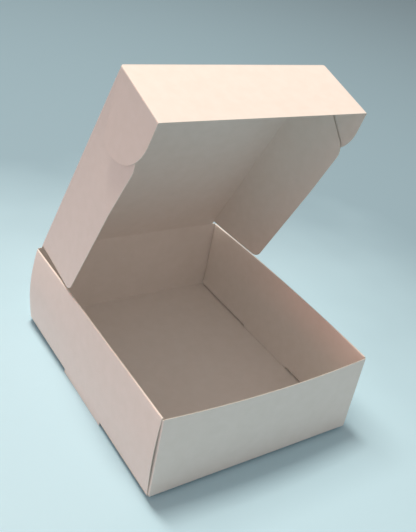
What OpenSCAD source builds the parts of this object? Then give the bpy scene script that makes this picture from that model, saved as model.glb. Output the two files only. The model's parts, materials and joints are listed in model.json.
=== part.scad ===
// Gift box folded from one sheet of card: a tray with rolled side walls and a hinged lid.
// It is drawn as it stands open, with the lid raised and its tuck flap bent down in front.
// The origin is at the middle of the footprint, on the surface that the box stands on.
// X runs to the right, Y to the hinge at the back and Z up, in millimetres.

/* [Tray] */
// Outside width, left to right
box_w = 200; // [150:1:260]
// Outside depth, front to back
box_d = 240; // [200:1:300]
// Height of the side walls above the underside of the base
wall_h = 76; // [70:1:120]
// How far the front wall stops below the tops of the side walls
front_drop = 0.4; // [0:0.1:3]
// How far the raw ends of a side wall stop short of the front and the back
side_inset = 1.7; // [1.5:0.1:4]
// Length of a dust flap, held between the two plies of a side wall
dust_l = 70; // [40:1:80]

/* [Card] */
// Thickness of the card
board = 0.5; // [0.4:0.05:0.7]
// Loose room on each side of a dust flap between the plies
ply_gap = 0.15; // [0.1:0.05:0.3]
// Gap left at a crease so that the two panels can turn
crease_gap = 0.02; // [0.01:0.01:0.05]

/* [Side wall lock] */
// Length of the slot in the base that takes a locking tab
slot_l = 72; // [40:1:100]
// Width of that slot, inward from the inside of the outer ply
slot_w = 2.8; // [2:0.1:4]
// Play of a locking tab in its slot
tab_play = 0.1; // [0.05:0.05:0.3]
// Gap under the inner ply beside the tab
under_gap = 0.8; // [0.4:0.1:2]

/* [Lid] */
// Angle of the lid above its closed position
lid_open = 63.4; // [0:0.1:170]
// How much shorter the lid is than the tray is deep
lid_short = 3.5; // [3:0.1:8]
// Room between the closed lid and the tops of the side walls
lid_rest = 0.1; // [0.05:0.05:0.5]
// Sideways room between neighbouring layers when the lid is closed
slide_gap = 0.4; // [0.3:0.05:0.8]

/* [Side flaps] */
// Depth of a side flap below the lid
flap_v = 66; // [40:1:68]
// Distance from the hinge crease to the start of a flap
flap_rear = 4.5; // [2:0.1:10]
// Distance from the tuck crease back to the front of a flap
flap_front = 4; // [3:0.5:40]
// Slant of a flap's rear edge
flap_slant = 25; // [10:0.5:40]
// Radius of a flap's rear corner
flap_rear_r = 12; // [5:0.5:20]
// Slant of a flap's front edge
flap_front_slant = 23.5; // [10:0.5:30]
// Radius of a flap's front corner
flap_front_r = 14; // [5:0.5:20]

/* [Tuck flap] */
// Length of the tuck flap from its crease to its free edge
tuck_l = 64; // [40:1:66]
// Turn of the tuck flap from the plane of the lid
tuck_turn = 80.8; // [60:0.1:100]
// Turn of the tuck flap when the lid is closed
tuck_shut = 102; // [95:1:110]
// Length of a lock ear, back from the face of the tuck flap
ear_l = 60; // [50:1:72]
// Radius of a lock ear's lower corner
ear_r = 40; // [20:1:45]
// Distance from the tuck crease to the start of a lock ear
ear_gap = 1; // [0.5:0.1:6]
// Slant of a lock ear's edge beside the lid
ear_slant = 12; // [2:0.5:14]
// Radius of a lock ear's upper corner
ear_tip_r = 9.5; // [4:0.5:10]

/* [Hidden] */
$fn = 96;

// Folds: a rolled wall holds one dust flap between its plies
fold_r = board / 2 + ply_gap;
fold_out = fold_r + board;
fold_run = PI / 2 * (fold_r + board / 2);

// The tongue beside a slot is the strip cut from it, which hangs straight below the outer ply
slot_x = box_w / 2 - board - slot_w;
base_z = board + slot_w + fold_run - 2 * fold_out;
base_top = base_z + board;
top_z = base_z + wall_h;
side_half = box_d / 2 - side_inset;

// The inner ply leans in until its tab meets the inner edge of the slot
roll_x = box_w / 2 - fold_out;
roll_z = top_z - fold_out;
lean = atan((roll_x - fold_out - slot_x - tab_play) / (roll_z - base_z));
ply_l = (roll_z - base_top - under_gap) / cos(lean);
tab_end = (roll_z - base_z + board) / cos(lean);

// Dust flaps lie inside the outer ply and below the roll
dust_x = box_w / 2 - board - ply_gap;
corner_x = dust_x - fold_out;
dust_low = base_top + under_gap;
dust_high = roll_z - ply_gap;
dust_taper = dust_l / 10;

// Hinge crease along the top of the back wall
hinge_y = box_d / 2 - board / 2;
hinge_z = top_z + lid_rest + board / 2;
lid_l = box_d - lid_short;

// Layers at a side of the closed lid, from the inner ply inward: lock ear, then side flap
ply_foot_x = slot_x + tab_play;
ear_x = ply_foot_x - slide_gap;
flap_x = ear_x - board - slide_gap;
lid_half = flap_x - board;

// Where a panel can start beside a crease that folds to a given inside angle
function crease_start(angle) = board / 2 / tan(angle / 2) + crease_gap;
hinge_start = crease_start(90);
tuck_start = crease_start(180 - tuck_shut);

// Corner i of a closed outline, by index in either direction
function corner(pts, i) = pts[(i + len(pts)) % len(pts)];
function unit(v) = v / norm(v);
// Distance from a corner to the tangent points of an arc of radius r in it
function tangent_run(a, p, b, r) = r / tan(acos(unit(a - p) * unit(b - p)) / 2);
// The two tangent points of a rounded corner, or the corner itself where it is sharp
function tangents(a, p, b, r) =
    let (run = tangent_run(a, p, b, r))
    r > 0 ? [p + unit(a - p) * run, p + unit(b - p) * run] : [p];
// Centre of the arc in a rounded corner
function arc_centre(a, p, b, r) =
    p + unit(unit(a - p) + unit(b - p)) * norm([tangent_run(a, p, b, r), r]);

// Outline with true arcs in its corners
module rounded_outline(pts, radii) {
    ends = [for (i = [0 : len(pts) - 1]) tangents(corner(pts, i - 1), pts[i], corner(pts, i + 1), radii[i])];
    polygon([for (pair = ends) each pair]);
    for (i = [0 : len(pts) - 1])
        if (radii[i] > 0) {
            middle = arc_centre(corner(pts, i - 1), pts[i], corner(pts, i + 1), radii[i]);
            intersection() {
                translate(middle) circle(radii[i]);
                polygon([ends[i][0], pts[i], ends[i][1], middle]);
            }
        }
}

// Wedge from the origin, from straight down and turning left
module sector(angle, reach) {
    rim = [for (k = [0 : 4]) reach * [sin(angle * k / 4), -cos(angle * k / 4)]];
    polygon(concat([[0, 0]], rim));
}

// Section of one fold, from a sheet that comes in along X on the axis and turns left
module fold(angle) {
    translate([0, fold_out])
        intersection() {
            difference() {
                circle(fold_out);
                circle(fold_r);
            }
            sector(angle, 2 * fold_out);
        }
}

// Section of a sheet that runs straight and folds by turns: each step is a run and the turn after it
module bent_sheet(steps, i = 0) {
    run = steps[i][0];
    turn = steps[i][1];
    square([run, board]);
    if (i < len(steps) - 1)
        translate([run, 0]) {
            fold(turn);
            translate([0, fold_out]) rotate(turn) translate([0, -fold_out]) bent_sheet(steps, i + 1);
        }
}

// Each side in turn, right and then left
module both_sides() {
    for (side = [0, 1]) mirror([side, 0, 0]) children();
}

// Section drawn in X and Z, run along Y by equal lengths each way
module along_y(half) {
    rotate([90, 0, 0]) linear_extrude(2 * half, center = true) children();
}

// Section drawn in Y and Z, run along X by equal lengths each way
module along_x(half) {
    rotate([90, 0, 90]) linear_extrude(2 * half, center = true) children();
}

// Outline drawn away from a crease and down, as an upright sheet with its outer face at x
module upright(x) {
    translate([x, 0, 0]) rotate([90, 0, -90]) linear_extrude(board) children();
}

// Straight bar from x0 to x1 and from z0 to z1, centred on Y
module bar(x0, x1, y_half, z0, z1) {
    translate([x0, -y_half, z0]) cube([x1 - x0, 2 * y_half, z1 - z0]);
}

// Rolled side wall on the right: base edge, outer ply, roll and inner ply in one section
module side_wall() {
    start = slot_x - slot_w;
    difference() {
        along_y(side_half)
            translate([start, base_z])
            bent_sheet([[roll_x - start, 90], [wall_h - 2 * fold_out, 180 - lean], [ply_l, 0]]);
        bar(slot_x, box_w, slot_l / 2, base_z - board, base_z + fold_out);
    }
    bar(box_w / 2 - board, box_w / 2, slot_l / 2, 0, base_z + 2 * fold_out);
    along_y(slot_l / 2 - tab_play)
        translate([roll_x, roll_z])
        rotate(-lean)
        translate([-fold_out, -tab_end])
        square([board, tab_end - ply_l + board]);
}

// Dust flap on the front right, turned back from the end of the front wall
module dust_flap() {
    y0 = -box_d / 2 + fold_out;
    translate([corner_x - fold_out, -box_d / 2, dust_low])
        linear_extrude(dust_high - dust_low)
        bent_sheet([[fold_out, 90], [fold_out, 0]]);
    translate([0, y0, 0])
        mirror([0, 1, 0])
        upright(dust_x)
        rounded_outline(
            [[0, dust_low], [dust_l, dust_low + dust_taper], [dust_l, dust_high - dust_taper], [0, dust_high]],
            [0, dust_taper, dust_taper, 0]);
}

// Base panel, cut back at the two slots
module base() {
    difference() {
        bar(-roll_x, roll_x, box_d / 2 - fold_out, base_z, base_top);
        both_sides() bar(slot_x, box_w, slot_l / 2, base_z - board, base_top + board);
    }
}

// Wall across the back, or the front when mirrored, folded up from the base to a height
module end_wall(high) {
    start = box_d / 2 - 2 * fold_out;
    along_x(corner_x)
        translate([start, base_z])
        bent_sheet([[box_d / 2 - fold_out - start, 90], [high - base_z - fold_out, 0]]);
}

module tray() {
    color("whitesmoke") {
        base();
        end_wall(hinge_z);
        mirror([0, 1, 0]) end_wall(top_z - front_drop);
        along_x(lid_half) translate([hinge_y, hinge_z]) circle(d = board);
        both_sides() side_wall();
        both_sides() for (end = [0, 1]) mirror([0, end, 0]) dust_flap();
    }
}

// Lid frame: the hinge crease on X, the lid toward -Y and its outer face up
module on_lid() {
    translate([0, hinge_y, hinge_z]) rotate([-lid_open, 0, 0]) children();
}

// Tuck flap frame: its crease on X, the flap toward -Y and its outer face up
module on_tuck() {
    on_lid() translate([0, -lid_l, 0]) rotate([tuck_turn, 0, 0]) children();
}

module lid_panel() {
    color("whitesmoke") on_lid() {
        translate([-lid_half, -lid_l, -board / 2]) cube([2 * lid_half, lid_l - hinge_start, board]);
        along_x(lid_half) translate([-lid_l, 0]) circle(d = board);
        both_sides()
            translate([lid_half, -flap_rear, -board / 2])
            rotate([90, 0, 0])
            linear_extrude(lid_l - flap_front - flap_rear)
            intersection() {
                circle(board);
                square(board);
            }
    }
}

// Side flap on the right, bent down square to the lid
module side_flap() {
    front = lid_l - flap_front;
    tip = flap_rear + flap_v * tan(flap_slant);
    front_tip = front - flap_v * tan(flap_front_slant);
    color("whitesmoke") on_lid()
        translate([0, 0, -board / 2 - crease_gap])
        upright(flap_x)
        rounded_outline(
            [[flap_rear, 0], [tip, -flap_v], [front_tip, -flap_v], [front, 0]],
            [0, flap_rear_r, flap_front_r, 0]);
}

module side_flap_right() {
    side_flap();
}

module side_flap_left() {
    mirror([1, 0, 0]) side_flap();
}

// Lock ear: a slanted edge beside the lid and two round corners, the lower one much larger
module ear_outline() {
    tip = ear_gap + ear_l * tan(ear_slant);
    end = tuck_l - tip;
    rounded_outline(
        [[ear_gap, 0], [tip, -ear_l], [tuck_l, -ear_l], [tuck_l, 0]],
        [0, min(ear_tip_r, 0.2 * end), min(ear_r, 0.8 * end), 0]);
}

module tuck_flap() {
    flat = ear_x - fold_out;
    color("whitesmoke") on_tuck() {
        translate([-flat, -tuck_l, -board / 2]) cube([2 * flat, tuck_l - tuck_start, board]);
        both_sides() {
            translate([flat, -ear_gap, board / 2])
                rotate([90, 0, 0])
                linear_extrude(tuck_l - ear_gap)
                mirror([0, 1, 0])
                fold(90);
            difference() {
                translate([0, 0, board / 2]) upright(ear_x) ear_outline();
                translate([0, -2 * tuck_l, board / 2 - fold_out]) cube([2 * ear_x, 2 * tuck_l, 2 * fold_out]);
            }
        }
    }
}

tray();
lid_panel();
side_flap_left();
side_flap_right();
tuck_flap();
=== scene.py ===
import json
import math

import bmesh
import bpy
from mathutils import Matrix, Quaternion, Vector, noise


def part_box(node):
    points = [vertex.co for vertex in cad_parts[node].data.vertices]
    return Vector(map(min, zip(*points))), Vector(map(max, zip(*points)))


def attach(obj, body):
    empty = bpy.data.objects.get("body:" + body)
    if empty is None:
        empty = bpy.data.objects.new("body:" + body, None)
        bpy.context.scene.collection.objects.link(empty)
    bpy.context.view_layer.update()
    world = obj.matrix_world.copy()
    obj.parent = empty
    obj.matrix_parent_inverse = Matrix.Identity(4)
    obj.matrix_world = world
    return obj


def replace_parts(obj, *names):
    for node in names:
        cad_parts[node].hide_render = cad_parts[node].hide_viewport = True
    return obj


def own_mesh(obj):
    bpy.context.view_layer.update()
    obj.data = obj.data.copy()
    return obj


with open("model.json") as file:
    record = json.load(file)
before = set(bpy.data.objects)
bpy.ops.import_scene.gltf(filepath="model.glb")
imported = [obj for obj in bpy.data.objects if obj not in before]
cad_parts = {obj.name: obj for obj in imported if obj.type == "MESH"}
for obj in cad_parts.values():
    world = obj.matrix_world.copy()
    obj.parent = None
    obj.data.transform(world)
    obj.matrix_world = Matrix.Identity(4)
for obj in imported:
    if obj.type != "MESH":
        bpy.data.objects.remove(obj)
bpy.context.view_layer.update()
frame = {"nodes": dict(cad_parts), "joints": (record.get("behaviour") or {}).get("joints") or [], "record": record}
scene = bpy.context.scene
mm = 0.001
joints = {joint["name"]: joint for joint in frame["joints"]}
mounts = {mount["name"]: mount for mount in frame["record"]["mounts"]}
print("frame loaded:", len(frame["nodes"]), "card panels")


# the photograph's view
photoView = {
    "place": (-0.3460, -0.4445, 0.4458),
    "heading": 39.05,  # degrees to the right of the box's own front to back line
    "dip": 25.72,
    "roll": 12.07,
    "imageSize": (416, 532),
    "focalPixels": 753.9,
    "centrePixel": (228, 208),  # where the lens axis meets the picture
    "sensor": 36.0,  # spans the longer side of the picture
}


def addCamera(view):
    width, height = view["imageSize"]
    data = bpy.data.cameras.new("photoCamera")
    data.sensor_width = view["sensor"]
    data.lens = view["focalPixels"] / height * view["sensor"]
    data.shift_x = (width / 2 - view["centrePixel"][0]) / height
    data.shift_y = (view["centrePixel"][1] - height / 2) / height
    heading, dip = math.radians(view["heading"]), math.radians(view["dip"])
    ahead = Vector((math.sin(heading) * math.cos(dip), math.cos(heading) * math.cos(dip), -math.sin(dip)))
    roll = Quaternion((0, 0, 1), math.radians(view["roll"]))
    camera = bpy.data.objects.new("photoCamera", data)
    camera.location = view["place"]
    camera.rotation_mode = "QUATERNION"
    camera.rotation_quaternion = ahead.to_track_quat("-Z", "Y") @ roll
    scene.collection.objects.link(camera)
    scene.camera = camera


addCamera(photoView)
scene.view_settings.view_transform = "Standard"
print("camera set")


def linear(hexColour):
    parts = [int(hexColour[i:i + 2], 16) / 255 for i in (1, 3, 5)]
    return tuple(p / 12.92 if p <= 0.04045 else ((p + 0.055) / 1.055) ** 2.4 for p in parts) + (1.0,)


def addNode(tree, kind, settings=None, inputs=None, ramp=None):
    node = tree.nodes.new(kind)
    for key, value in (settings or {}).items():
        setattr(node, key, value)
    for key, value in (inputs or {}).items():
        if isinstance(value, bpy.types.NodeSocket):
            tree.links.new(value, node.inputs[key])
        else:
            node.inputs[key].default_value = value
    for element, (place, colour) in zip(node.color_ramp.elements if ramp else [], ramp or []):
        element.position = place
        element.color = linear(colour)
    return node


def newMaterial(name):
    material = bpy.data.materials.new(name)
    material.use_nodes = True
    material.node_tree.nodes.clear()
    return material, material.node_tree


# Clay-coated white board, calendered between smooth rolls: an even, nearly matt white
# with a faint cloudiness from the fibre under the coat and a soft sheen at low angles.
coatedBoard = {
    "colours": [(0.3, "#F0E9E2"), (0.7, "#F4EDE7")],  # thin and thick coat
    "cloud": {"Scale": 1 / (9 * mm), "Detail": 4.0, "Roughness": 0.55},  # clumps of fibre under the coat
    # coat grain is about 0.1 mm; drawn coarser, at 1.6 mm, so that it shows at all
    "grain": {"Scale": 1 / (1.6 * mm), "Detail": 3.0, "Roughness": 0.6},
    "grainDepth": 0.012 * mm,
    "roughness": (0.52, 0.64),
    "ior": 1.46,
}


def makeCoatedBoard(look):
    material, tree = newMaterial("clayCoatedBoard")
    where = addNode(tree, "ShaderNodeTexCoord").outputs["Object"]
    cloud = addNode(tree, "ShaderNodeTexNoise", None, {"Vector": where, **look["cloud"]}).outputs["Fac"]
    grain = addNode(tree, "ShaderNodeTexNoise", None, {"Vector": where, **look["grain"]}).outputs["Fac"]
    colour = addNode(tree, "ShaderNodeValToRGB", None, {"Fac": cloud}, look["colours"])
    smooth, dull = look["roughness"]
    rough = addNode(tree, "ShaderNodeMapRange", None, {"Value": cloud, "To Min": smooth, "To Max": dull})
    bump = addNode(tree, "ShaderNodeBump", None, {"Height": grain, "Distance": look["grainDepth"]})
    shader = addNode(tree, "ShaderNodeBsdfPrincipled", None,
                     {"Base Color": colour.outputs["Color"], "Roughness": rough.outputs["Result"],
                      "Normal": bump.outputs["Normal"], "IOR": look["ior"]})
    addNode(tree, "ShaderNodeOutputMaterial", None, {"Surface": shader.outputs["BSDF"]})
    return material


# Die-cut edge of the same board: the knife bares the fibre core, so it is dull and creamy.
cutEdge = {
    "colours": [(0.25, "#DDD6CA"), (0.75, "#EFEAE0")],  # between the fibres and on them
    "fibre": {"Scale": 1 / (0.6 * mm), "Detail": 5.0, "Roughness": 0.65},
    "fibreDepth": 0.03 * mm,
    "roughness": 0.9,
    "ior": 1.46,
}


def makeCutEdge(look):
    material, tree = newMaterial("dieCutBoardEdge")
    where = addNode(tree, "ShaderNodeTexCoord").outputs["Object"]
    fibre = addNode(tree, "ShaderNodeTexNoise", None, {"Vector": where, **look["fibre"]}).outputs["Fac"]
    colour = addNode(tree, "ShaderNodeValToRGB", None, {"Fac": fibre}, look["colours"])
    bump = addNode(tree, "ShaderNodeBump", None, {"Height": fibre, "Distance": look["fibreDepth"]})
    shader = addNode(tree, "ShaderNodeBsdfPrincipled", None,
                     {"Base Color": colour.outputs["Color"], "Roughness": look["roughness"],
                      "Normal": bump.outputs["Normal"], "IOR": look["ior"]})
    addNode(tree, "ShaderNodeOutputMaterial", None, {"Surface": shader.outputs["BSDF"]})
    return material


boardMaterial = makeCoatedBoard(coatedBoard)
edgeMaterial = makeCutEdge(cutEdge)
print("card materials made")


# one thickness of card everywhere, folded on scored lines
card = {
    "thick": 0.5 * mm,
    "plyGap": 0.15 * mm,  # air beside a dust flap inside a rolled wall
    "foldStep": 15.0,  # degrees of a fold in one strip of faces
    "cell": 5 * mm,  # spacing of the mesh on flat panels
    "weld": 0.01 * mm,  # points closer than this are one
    "ripple": 0.10 * mm,  # a large sheet of card is never quite flat
    "rippleSpan": 75 * mm,
    "sharp": 40.0,  # degrees above which an edge is a cut and not a bend
}
halfThick = card["thick"] / 2
foldRadius = halfThick + card["plyGap"] + halfThick  # to the middle of the card, round half a dust flap
foldOut = foldRadius + halfThick


def clamp(value):
    return min(1.0, max(0.0, value))


def spread(low, high, count):
    return [low + (high - low) * i / (count - 1) for i in range(count)]


def cells(length):
    return max(2, round(length / card["cell"]) + 1)


# Walks along the middle of the card: each step is a straight run, then a turn to the left.
def walkCard(start, heading, steps):
    here, angle = Vector(start), math.radians(heading)
    stations = [here.copy()]
    for run, turn in steps:
        if run:
            ahead = Vector((math.cos(angle), math.sin(angle)))
            stations += [here + ahead * part for part in spread(0, run, cells(run))[1:]]
            here = stations[-1].copy()
        if turn:
            count = max(2, round(turn / card["foldStep"]))
            centre = here + Vector((-math.sin(angle), math.cos(angle))) * foldRadius
            for k in range(1, count + 1):
                bent = angle + math.radians(turn) * k / count
                stations.append(centre + Vector((math.sin(bent), -math.cos(bent))) * foldRadius)
            angle += math.radians(turn)
            here = stations[-1].copy()
    return stations


# One strip of card: a row of points across it at every station along it.
def layCard(sheet, stations, acrossAt, place):
    rows = []
    for station in stations:
        rows.append([sheet.verts.new(place(station, across)) for across in acrossAt(station)])
    for near, far in zip(rows, rows[1:]):
        for i in range(len(near) - 1):
            sheet.faces.new((near[i], near[i + 1], far[i + 1], far[i]))


def addMesh(name, sheet, *materials):
    mesh = bpy.data.meshes.new(name)
    sheet.to_mesh(mesh)
    sheet.free()
    for material in materials:
        mesh.materials.append(material)
    piece = bpy.data.objects.new(name, mesh)
    scene.collection.objects.link(piece)
    return piece


# Bows the strips, ripples them a little and gives them the thickness of the card.
def finishCard(name, sheet, body, bow=None):
    bmesh.ops.remove_doubles(sheet, verts=sheet.verts, dist=card["weld"])
    bmesh.ops.dissolve_degenerate(sheet, edges=sheet.edges, dist=card["weld"])
    sheet.normal_update()
    for vert in sheet.verts:
        wave = noise.noise(vert.co / card["rippleSpan"]) * card["ripple"]
        vert.co = (bow(vert.co) if bow else vert.co) + vert.normal * wave
    piece = addMesh(name, sheet, boardMaterial, edgeMaterial)
    shell = piece.modifiers.new("thickness", "SOLIDIFY")
    shell.thickness = card["thick"]
    shell.offset = 0
    shell.material_offset_rim = 1  # raw edges take the second material
    with bpy.context.temp_override(object=piece, active_object=piece):
        bpy.ops.object.modifier_apply(modifier=shell.name)
    piece.data.shade_smooth()
    piece.data.set_sharp_from_angle(angle=math.radians(card["sharp"]))
    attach(piece, body)
    return piece


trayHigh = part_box("tray")[1]
hinge = Vector(joints["lid_hinge"]["pos_m"])
tuckCrease = Vector(joints["tuck_fold"]["pos_m"])
lidLength = (tuckCrease - hinge).length

# Tray: the end walls fold up from the base, the side walls roll over and lock into the base.
tray = {
    "wallHeight": 76 * mm,
    "frontDrop": 0.4 * mm,  # the front wall stops just under the side walls
    "sideInset": 1.7 * mm,  # raw ends of a side wall, short of the front and the back
    "slotHalf": 36 * mm,
    "slotWidth": 2.8 * mm,
    "tabPlay": 0.1 * mm,
    "underGap": 1.4 * mm,  # under the inner ply, beside the tab
    "dustLength": 70 * mm,
    "dustTaper": 7 * mm,  # off each edge of a dust flap, at its end
    "frontBow": 4.6 * mm,  # the front wall leans out at the middle of its top
    "rightBow": 3.0 * mm,
    "bowPower": 1.2,  # above 1 a wall bends more towards its top
    "backBow": 1.2 * mm,
    "leftBulge": (1.6 * mm, 3.6 * mm),  # outer ply off the corner folds, front and back
    "plyBow": 1.3 * mm,  # inner plies lie back against the dust flaps
    "plyFoot": 0.125,  # share of the wall's height in which that bow starts, above the tab
    "baseCrown": 0.5 * mm,
}
halfWidth, halfDepth = trayHigh.x, trayHigh.y
baseLow = mounts["base_underside"]["pos_m"][2]
baseTop = baseLow + card["thick"]
wallTop = baseLow + tray["wallHeight"]
sideEnd = halfDepth - tray["sideInset"]
rollX, rollZ = halfWidth - foldOut, wallTop - foldOut
slotX = halfWidth - card["thick"] - tray["slotWidth"]
lean = math.atan((rollX - foldOut - slotX - tray["tabPlay"]) / (rollZ - baseLow))
plyLength = (rollZ - baseTop - tray["underGap"]) / math.cos(lean)
tabLength = (rollZ - baseLow + card["thick"]) / math.cos(lean)
cornerX = halfWidth - card["thick"] - card["plyGap"] - foldOut
dustLow, dustHigh = baseTop + tray["underGap"], rollZ - card["plyGap"]


def bowTray(point):
    x, y, z = point
    rise = clamp((z - baseLow - foldOut) / (wallTop - baseLow - foldOut))
    swell = math.sin(math.pi * rise)
    acrossArch = clamp(1 - (x / cornerX) ** 2)
    alongArch = clamp(1 - (y / sideEnd) ** 2)
    if y < -halfDepth + foldOut:
        y -= tray["frontBow"] * acrossArch * rise ** tray["bowPower"]
    elif y > halfDepth - foldOut:
        y += tray["backBow"] * acrossArch * swell
    elif abs(x) > slotX:
        if abs(x) < rollX - halfThick:
            x += math.copysign(tray["plyBow"] * (1 - rise) * clamp(rise / tray["plyFoot"]), x)
        if x > 0:
            x += tray["rightBow"] * alongArch * rise ** tray["bowPower"]
    if x < -halfWidth + card["thick"]:
        share = (y + sideEnd) / (2 * sideEnd)
        nearBulge, farBulge = tray["leftBulge"]
        x -= (nearBulge * (1 - share) ** 2 + farBulge * share ** 2) * swell
    elif abs(x) < slotX and abs(y) < halfDepth - foldOut:
        z += tray["baseCrown"] * (1 - (x / slotX) ** 2) * alongArch
    return Vector((x, y, z))


def makeTray():
    sheet = bmesh.new()
    wallRun = wallTop - baseLow - foldOut
    baseRun = halfDepth - foldOut - tray["slotHalf"]

    def acrossEnd(station):
        half = rollX if abs(station.x) < halfDepth - foldOut - halfThick else cornerX
        return spread(-half, half, cells(2 * halfWidth))

    def endPlace(station, across):
        return Vector((across, station.x, station.y))

    front = walkCard((-halfDepth + halfThick, wallTop - tray["frontDrop"]), -90,
                     [(wallRun - tray["frontDrop"], 90), (baseRun, 0)])
    layCard(sheet, front, acrossEnd, endPlace)
    back = walkCard((tray["slotHalf"], baseLow + halfThick), 0,
                    [(baseRun, 90), (hinge.z - baseLow - foldOut, 0)])
    layCard(sheet, back, acrossEnd, endPlace)
    middle = walkCard((-tray["slotHalf"], baseLow + halfThick), 0, [(2 * tray["slotHalf"], 0)])
    layCard(sheet, middle, lambda station: spread(-slotX, slotX, cells(2 * slotX)), endPlace)

    outside = spread(tray["slotHalf"], sideEnd, cells(sideEnd - tray["slotHalf"]))
    inside = spread(-tray["slotHalf"], tray["slotHalf"], cells(2 * tray["slotHalf"]))
    whole = [-y for y in reversed(outside)] + inside[1:-1] + outside
    tabHalf = tray["slotHalf"] - tray["tabPlay"]
    tabPlace = Vector((rollX, rollZ)) + Vector((-math.cos(lean), math.sin(lean))) * foldRadius
    tabAhead = Vector((-math.sin(lean), -math.cos(lean)))

    def acrossDust(station):
        inset = tray["dustTaper"] * clamp((station.y + halfDepth - foldOut) / tray["dustLength"])
        return spread(dustLow + inset, dustHigh - inset, cells(dustHigh - dustLow))

    for side in (1, -1):
        def sidePlace(station, across, side=side):
            return Vector((side * station.x, across, station.y))

        foot = walkCard((rollX, baseLow + halfThick), 0, [(0, 90)])
        layCard(sheet, foot, lambda station: outside, sidePlace)
        layCard(sheet, foot, lambda station: [-y for y in outside], sidePlace)
        roll = walkCard((halfWidth - halfThick, baseLow + foldOut), 90,
                        [(tray["wallHeight"] - 2 * foldOut, 180 - math.degrees(lean)), (plyLength, 0)])
        layCard(sheet, roll, lambda station: whole, sidePlace)
        tongue = walkCard((halfWidth - halfThick, 0), 90, [(baseLow + foldOut, 0)])
        layCard(sheet, tongue, lambda station: inside, sidePlace)
        tab = [tabPlace + tabAhead * part for part in (plyLength, (plyLength + tabLength) / 2, tabLength)]
        layCard(sheet, tab, lambda station: spread(-tabHalf, tabHalf, cells(2 * tabHalf)), sidePlace)
        for end in (1, -1):
            def dustPlace(station, across, side=side, end=end):
                return Vector((side * station.x, end * station.y, across))

            dust = walkCard((cornerX, -halfDepth + halfThick), 0, [(0, 90), (tray["dustLength"], 0)])
            layCard(sheet, dust, acrossDust, dustPlace)
    return finishCard("trayCard", sheet, "tray", bowTray)


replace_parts(makeTray(), "tray")
print("tray folded")


lidRun = (tuckCrease - hinge).normalized()
lidUp = Vector((0, lidRun.z, -lidRun.y))

# Lid: one panel from the hinge crease to the tuck crease.
lid = {
    "hingeStart": 0.42 * mm,
    "flapCreaseX": 95.0 * mm,
    "bow": 0.8 * mm,
}


def onLid(x, run, up):
    return hinge + Vector((x, 0, 0)) + lidRun * run + lidUp * up


def bowLid(point):
    run = (point - hinge).dot(lidRun) / lidLength
    across = clamp(1 - (point.x / lid["flapCreaseX"]) ** 2)
    return point + lidUp * lid["bow"] * across * math.sin(math.pi * clamp(run))


def makeLid():
    sheet = bmesh.new()
    half = lid["flapCreaseX"]
    stations = [Vector((run, 0)) for run in spread(lid["hingeStart"], lidLength, cells(lidLength))]
    layCard(sheet, stations, lambda station: spread(-half, half, cells(2 * half)),
            lambda station, across: onLid(across, station.x, 0))
    return finishCard("lidCard", sheet, "lid", bowLid)


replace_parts(makeLid(), "lid_panel")
print("lid made")


# Side flaps: slanted at both ends, with round lower corners.
flap = {
    "depth": 66 * mm,
    "rear": 4.5 * mm,
    "front": 4 * mm,  # back from the tuck crease
    "rearSlant": 25.0,
    "frontSlant": 23.5,
    "rearRadius": 12 * mm,
    "frontRadius": 14 * mm,
    "edgePoints": 9,  # along each slant and each round corner
    "splay": 5.0 * mm,  # the free edge springs out while the lid is up
    "curl": 1.15,  # above 1 the flap curves as it springs out
    "held": 0.55,  # share of the splay taken back where a lock ear lies over the flap
    "heldFrom": (90 * mm, 30 * mm),  # back from the tuck crease
    "pressed": 0.02,  # share of the splay left when the lid is as far as it goes
}


def makeFlap(name, side, body):
    sheet = bmesh.new()
    rearSlant, frontSlant = math.radians(flap["rearSlant"]), math.radians(flap["frontSlant"])
    rearR, frontR, depth = flap["rearRadius"], flap["frontRadius"], flap["depth"]
    front = lidLength - flap["front"]
    rearCentre = flap["rear"] + (depth - rearR) * math.tan(rearSlant) + rearR / math.cos(rearSlant)
    frontCentre = front - (depth - frontR) * math.tan(frontSlant) - frontR / math.cos(frontSlant)
    rearTangent = rearCentre - rearR * math.cos(rearSlant)
    frontTangent = frontCentre + frontR * math.cos(frontSlant)
    crease = lid["flapCreaseX"] + halfThick

    def depthAt(run):
        if run < rearTangent:
            return (run - flap["rear"]) / math.tan(rearSlant)
        if run < rearCentre:
            return depth - rearR + math.sqrt(max(0, rearR ** 2 - (run - rearCentre) ** 2))
        if run < frontCentre:
            return depth
        if run < frontTangent:
            return depth - frontR + math.sqrt(max(0, frontR ** 2 - (run - frontCentre) ** 2))
        return (front - run) / math.tan(frontSlant)

    def place(station, down):
        far, near = flap["heldFrom"]
        held = flap["held"] * clamp((far - (lidLength - station.x)) / (far - near))
        out = flap["splay"] * (1 - held) * clamp(down / depth) ** flap["curl"]
        return onLid(side * (crease + out), station.x, -halfThick - down)

    points = flap["edgePoints"]
    runs = spread(flap["rear"], rearTangent, points)
    runs += [rearCentre - rearR * math.cos(a) for a in spread(rearSlant, math.pi / 2, points)[1:]]
    runs += spread(rearCentre, frontCentre, cells(frontCentre - rearCentre))[1:]
    runs += [frontCentre + frontR * math.sin(a) for a in spread(0, math.pi / 2 - frontSlant, points)[1:]]
    runs += spread(frontTangent, front, points)[1:]
    layCard(sheet, [Vector((run, 0)) for run in runs],
            lambda station: spread(0, depthAt(station.x), cells(depth)), place)
    piece = finishCard(name, sheet, body)
    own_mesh(piece)
    return piece


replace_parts(makeFlap("leftFlapCard", -1, "flap_left"), "side_flap_left")
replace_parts(makeFlap("rightFlapCard", 1, "flap_right"), "side_flap_right")
print("side flaps made")


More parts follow.
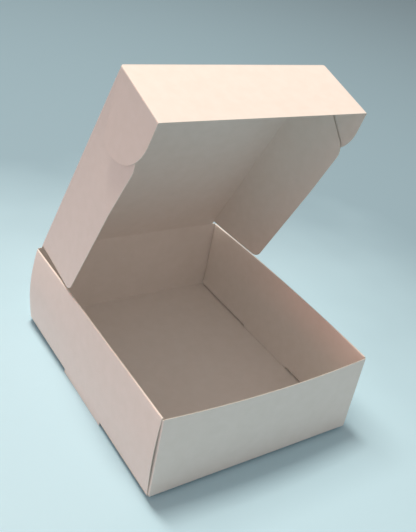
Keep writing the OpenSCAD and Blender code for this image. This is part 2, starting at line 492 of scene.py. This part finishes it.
# Tuck flap: a front panel with a lock ear bent back from each end.
tuck = {
    "turn": 80.8,  # degrees from the plane of the lid
    "start": 0.33 * mm,
    "length": 64 * mm,
    "earFace": 96.4 * mm,  # outer face of an ear
    "earGap": 1 * mm,  # from the tuck crease to an ear
    "earLength": 60 * mm,
    "earSlant": 12.0,
    "earRadius": 40 * mm,
    "tipRadius": 9.5 * mm,
    "flatPoints": 6,  # along an ear before its round corner
    "arcPoints": 19,
    "splay": 4.0 * mm,  # an ear springs out too, pushed by the side flap behind it
    "curl": 1.1,
    "pressed": 0.02,
}
tuckTurn = math.radians(tuck["turn"])
tuckRun = lidRun * math.cos(tuckTurn) - lidUp * math.sin(tuckTurn)
tuckUp = lidUp * math.cos(tuckTurn) + lidRun * math.sin(tuckTurn)


def onTuck(x, run, up):
    return tuckCrease + Vector((x, 0, 0)) + tuckRun * run + tuckUp * up


def makeTuck():
    sheet = bmesh.new()
    flat = tuck["earFace"] - foldOut
    bend = [Vector((station.x, -station.y)) for station in walkCard((flat, 0), 0, [(0, 90)])]
    panel = [Vector((x, 0)) for x in spread(-flat, flat, cells(2 * flat))[1:-1]]
    stations = [Vector((-s.x, s.y)) for s in reversed(bend)] + panel + bend

    def acrossAt(station):
        start = tuck["earGap"] if abs(station.x) > flat else tuck["start"]
        return spread(start, tuck["length"], cells(tuck["length"]))

    layCard(sheet, stations, acrossAt, lambda station, down: onTuck(station.x, down, station.y))
    return finishCard("tuckCard", sheet, "tuck")


def makeEar(name, side):
    sheet = bmesh.new()
    slant = math.radians(tuck["earSlant"])
    length, reach = tuck["length"], tuck["earLength"]
    lowR, tipR = tuck["earRadius"], tuck["tipRadius"]
    tipDeep = reach - tipR
    tipCentre = tuck["earGap"] + tipDeep * math.tan(slant) + tipR / math.cos(slant)
    tipStart = tipDeep + tipR * math.sin(slant)
    middleX = tuck["earFace"] - halfThick

    def earSpan(station):
        deep = station.x
        low = tuck["earGap"] + deep * math.tan(slant)
        high = length
        if deep > tipStart:
            low = tipCentre - math.sqrt(max(0, tipR ** 2 - (deep - tipDeep) ** 2))
        if deep > reach - lowR:
            high = length - lowR + math.sqrt(max(0, lowR ** 2 - (deep - reach + lowR) ** 2))
        return spread(low, high, cells(length))

    def place(station, down):
        out = tuck["splay"] * clamp(station.x / reach) ** tuck["curl"]
        return onTuck(side * (middleX + out), down, halfThick - station.x)

    deeps = spread(foldOut, reach - lowR, tuck["flatPoints"])
    deeps += [reach - lowR + lowR * math.sin(a) for a in spread(0, math.pi / 2, tuck["arcPoints"])[1:]]
    layCard(sheet, [Vector((deep, 0)) for deep in deeps], earSpan, place)
    piece = finishCard(name, sheet, "tuck")
    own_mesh(piece)


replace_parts(makeTuck(), "tuck_flap")
makeEar("leftEarCard", -1)
makeEar("rightEarCard", 1)
print("tuck flap and ears made")


# Score beads: a crease presses the board up into a small round ridge along the fold.
bead = {
    "sides": 12,
    "hinge": 0.38 * mm,
    "tuck": 0.33 * mm,
    "flap": 0.5 * mm,
    "taper": [(0, 0.3), (1, 0.85), (3, 1)],  # radii from an end, and share of the radius there
}


def makeBead(name, start, end, radius, body):
    along = (end - start).normalized()
    side = along.orthogonal().normalized()
    up = along.cross(side)
    length = (end - start).length
    ends = [(steps * radius, share) for steps, share in bead["taper"]]
    full = ends[-1][0]
    rings = ends + [(part, 1) for part in spread(full, length - full, cells(length))[1:-1]]
    rings += [(length - part, share) for part, share in reversed(ends)]
    angles = spread(0, 2 * math.pi, bead["sides"] + 1)[:-1]
    sheet = bmesh.new()
    loops = []
    for part, share in rings:
        centre = start + along * part
        spokes = [side * math.cos(a) + up * math.sin(a) for a in angles]
        loops.append([sheet.verts.new(centre + spoke * radius * share) for spoke in spokes])
    for near, far in zip(loops, loops[1:]):
        for i in range(bead["sides"]):
            j = (i + 1) % bead["sides"]
            sheet.faces.new((near[i], near[j], far[j], far[i]))
    sheet.faces.new(list(reversed(loops[0])))
    sheet.faces.new(loops[-1])
    piece = addMesh(name, sheet, boardMaterial)
    piece.data.shade_smooth()
    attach(piece, body)


creaseX = lid["flapCreaseX"]
makeBead("hingeCrease", onLid(-creaseX, 0, 0), onLid(creaseX, 0, 0), bead["hinge"], "tray")
makeBead("tuckCreaseBead", onLid(-creaseX, lidLength, 0), onLid(creaseX, lidLength, 0), bead["tuck"], "lid")
for name, side in (("leftFlapCrease", -1), ("rightFlapCrease", 1)):
    makeBead(name, onLid(side * creaseX, flap["rear"], -halfThick),
             onLid(side * creaseX, lidLength - flap["front"], -halfThick), bead["flap"], "lid")
print("creases made")


# Table top: a smooth board, pale and slightly cool, painted darker with distance from the box: painted light
# falloff, a painted pool of light round the box.
table = {
    "size": 9.0,
    "segments": 8,
    # near is the floor as if lit close to the box, far the same paint darkened: painted light falloff
    "near": "#BFE4F4",
    "far": "#92B3C3",
    "paintedLightCentre": (-0.10, -0.12, 0),  # centre of the painted pool of light: the corner of the box nearest the camera
    "paintedFalloff": (0.41, 0.78),  # metres from there, the waver included
    "waver": 300 * mm,  # how far the edge of the painted light falloff wanders
    "cloud": {"Scale": 1 / (300 * mm), "Detail": 3.0},
    "roughness": 0.6,
}


def makeTable():
    material, tree = newMaterial("tableTopPaintedLightFalloff")
    where = addNode(tree, "ShaderNodeTexCoord").outputs["Object"]
    cloud = addNode(tree, "ShaderNodeTexNoise", None, {"Vector": where, **table["cloud"]})
    # distance from the box sets the painted light falloff
    away = addNode(tree, "ShaderNodeVectorMath", {"operation": "DISTANCE"}, {0: where, 1: table["paintedLightCentre"]})
    uneven = addNode(tree, "ShaderNodeMath", {"operation": "MULTIPLY_ADD"},
                     {0: cloud.outputs["Fac"], 1: table["waver"], 2: away.outputs["Value"]})
    start, end = table["paintedFalloff"]
    paintedFalloff = addNode(tree, "ShaderNodeMapRange", None,
                   {"Value": uneven.outputs["Value"], "From Min": start, "From Max": end})
    colour = addNode(tree, "ShaderNodeValToRGB", None, {"Fac": paintedFalloff.outputs["Result"]},
                     [(0.0, table["near"]), (1.0, table["far"])])
    shader = addNode(tree, "ShaderNodeBsdfPrincipled", None,
                     {"Base Color": colour.outputs["Color"], "Roughness": table["roughness"]})
    addNode(tree, "ShaderNodeOutputMaterial", None, {"Surface": shader.outputs["BSDF"]})
    sheet = bmesh.new()
    bmesh.ops.create_grid(sheet, x_segments=table["segments"], y_segments=table["segments"],
                          size=table["size"] / 2)
    floor = addMesh("tableTop", sheet, material)


makeTable()

# Soft light: a warm panel high up and a little behind, a low pink one at the left with a grid
# that keeps it off the table, and a dim plain room.
lamps = {
    "overhead": {
        "place": (-0.12, 0.64, 2.6),
        "aim": (0, 0, 0.1),
        "size": (0.34, 0.9),
        "power": 55.5,
        "spread": 180.0,
        "colour": "#FFF1E4",
    },
    "leftSide": {
        "place": (-1.5, 0.25, 0.18),
        "aim": (0, 0, 0.12),
        "size": (1.2, 0.3),
        "power": 0.4,
        "spread": 50.0,
        "colour": "#FF8468",
    },
}
room = {"colour": "#FFF2EB", "strength": 0.40}


def addLamp(name, lamp):
    data = bpy.data.lights.new(name, "AREA")
    data.shape = "RECTANGLE"
    data.size, data.size_y = lamp["size"]
    data.energy = lamp["power"]
    data.spread = math.radians(lamp["spread"])
    data.color = linear(lamp["colour"])[:3]
    light = bpy.data.objects.new(name, data)
    light.location = lamp["place"]
    light.visible_camera = False  # the panel itself stays out of other views
    aim = Vector(lamp["aim"]) - Vector(lamp["place"])
    light.rotation_euler = aim.to_track_quat("-Z", "Y").to_euler()
    scene.collection.objects.link(light)


for name, lamp in lamps.items():
    addLamp(name, lamp)
world = bpy.data.worlds.new("room")
world.use_nodes = True
background = world.node_tree.nodes["Background"]
background.inputs["Color"].default_value = linear(room["colour"])
background.inputs["Strength"].default_value = room["strength"]
scene.world = world
print("table and light set")
